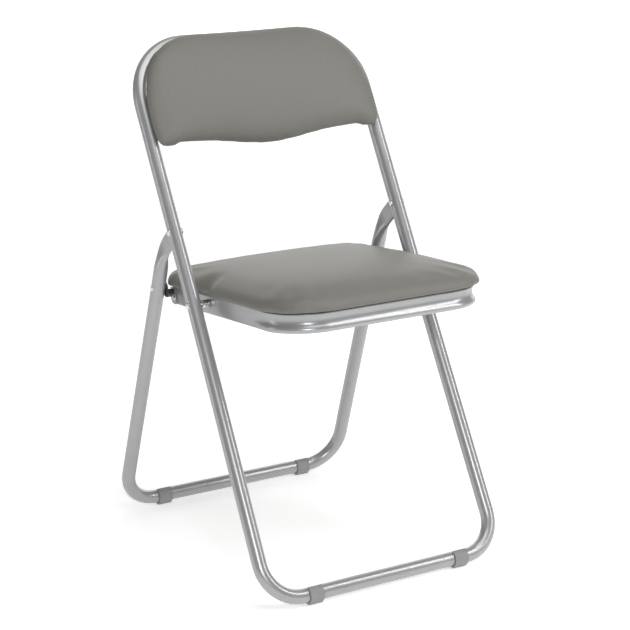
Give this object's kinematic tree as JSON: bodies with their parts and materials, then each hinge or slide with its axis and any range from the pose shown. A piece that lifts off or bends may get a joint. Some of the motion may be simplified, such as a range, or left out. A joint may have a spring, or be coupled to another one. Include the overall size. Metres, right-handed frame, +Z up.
{
  "type": "folding chair",
  "caption": "Folding chair: bent tube frame with padded backrest, hinged rear frame and padded seat on a pressed steel pan that folds flat.",
  "frame": {"origin": "on the floor, in the middle of the box round the open chair", "axes": "+Z up, +X to the right as seen from in front of the chair, front of the chair towards -Y; the open chair is mirrored about the YZ plane"},
  "size_m": [0.4318, 0.497, 0.7861],
  "materials": {
    "frame_paint": "silver grey powder coat, satin",
    "vinyl": "grey grained synthetic leather, satin",
    "board": "raw fibreboard",
    "rivet_steel": "zinc plated",
    "dark_steel": "dark grey paint, satin",
    "foot_plastic": "grey moulded plastic, matt"
  },
  "bodies": {
    "front_frame": {"front_frame": "frame_paint", "backrest_board": "board", "backrest_pad": "vinyl", "rear_pivot_rivet_left": "rivet_steel", "seat_pivot_rivet_left": "rivet_steel", "seat_pivot_spacer_left": "rivet_steel", "front_foot_left": "foot_plastic", "backrest_screw_left_1": "rivet_steel", "backrest_screw_left_2": "rivet_steel", "rear_pivot_rivet_right": "rivet_steel", "seat_pivot_rivet_right": "rivet_steel", "seat_pivot_spacer_right": "rivet_steel", "front_foot_right": "foot_plastic", "backrest_screw_right_1": "rivet_steel", "backrest_screw_right_2": "rivet_steel"},
    "rear_frame": {"rear_frame": "frame_paint", "rear_foot_left": "foot_plastic", "cradle_bracket_left": "dark_steel", "cradle_rivet_left": "rivet_steel", "rear_foot_right": "foot_plastic", "cradle_bracket_right": "dark_steel", "cradle_rivet_right": "rivet_steel"},
    "seat": {"seat_pan": "frame_paint", "seat_board": "board", "seat_pad": "vinyl", "seat_rear_rod": "dark_steel", "rail_end_plate_left": "frame_paint", "rail_end_rivet_left": "rivet_steel", "rail_end_plate_right": "frame_paint", "rail_end_rivet_right": "rivet_steel", "seat_screw_1": "rivet_steel", "seat_screw_2": "rivet_steel", "seat_screw_3": "rivet_steel", "seat_screw_4": "rivet_steel"}
  },
  "joints": [
    {"name": "seat_fold", "type": "hinge", "parent": "front_frame", "child": "seat", "pos_m": [0, -0.00799, 0.40879], "axis": [1, 0, 0], "range_deg": [0, 65.4]},
    {"name": "rear_frame_fold", "type": "hinge", "parent": "front_frame", "child": "rear_frame", "pos_m": [0, 0.04984, 0.50935], "axis": [-1, 0, 0], "range_deg": [0, 47.8]}
  ],
  "couplings": [
    {"joint": "rear_frame_fold", "follows": "seat_fold", "ratio": 0.7294}
  ]
}
